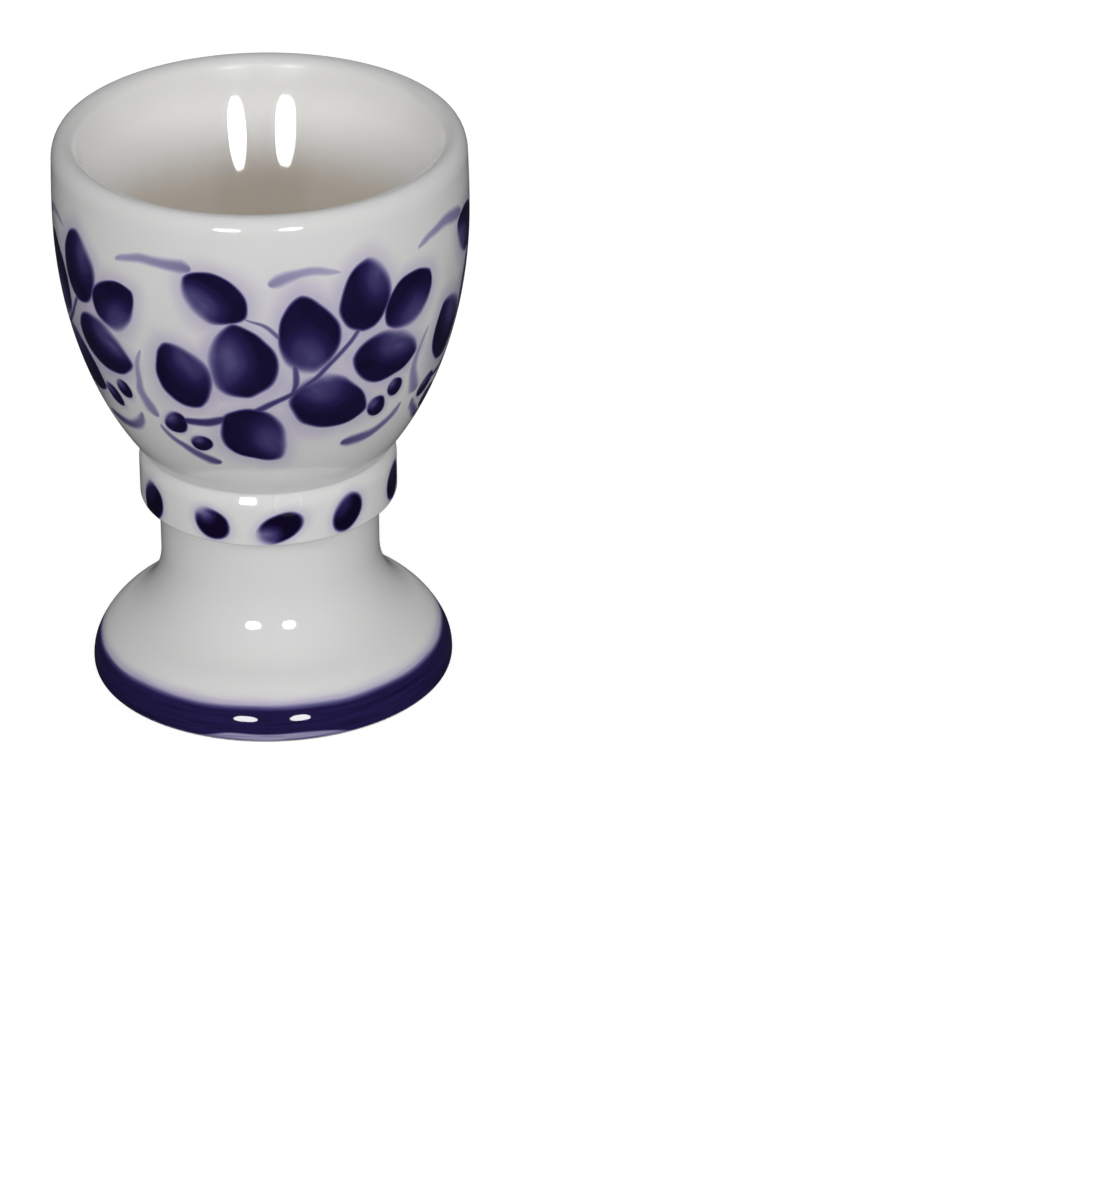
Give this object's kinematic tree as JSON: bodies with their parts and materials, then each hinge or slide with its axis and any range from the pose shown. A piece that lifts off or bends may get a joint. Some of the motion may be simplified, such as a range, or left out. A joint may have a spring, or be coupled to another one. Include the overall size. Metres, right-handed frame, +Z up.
{
  "type": "egg cup",
  "caption": "Footed ceramic egg cup: an egg-shaped bowl with a round lip on a hollow flared foot, with a rounded collar at the waist.",
  "frame": {"origin": "centre of the foot ring, on the table", "axes": "+Z up along the axis of the cup; the cup is round, so +X and +Y are any two level directions, with the middle of one painted sprig near -Y"},
  "size_m": [0.052, 0.052, 0.074],
  "materials": {
    "glazed_bowl": "clear gloss glaze over white ceramic, painted under the glaze in cobalt blue with four leafy sprigs",
    "glazed_collar": "clear gloss glaze over white ceramic, with a row of cobalt brush dots",
    "glazed_foot": "clear gloss glaze over white ceramic, with a broad cobalt band round the lower edge and a bare foot ring",
    "fired_slip": "matt fired slip, hidden in the joint"
  },
  "bodies": {
    "root": {"bowl": "glazed_bowl", "waist_collar": "glazed_collar", "pedestal_foot": "glazed_foot", "joint_slip": "fired_slip"}
  },
  "joints": []
}
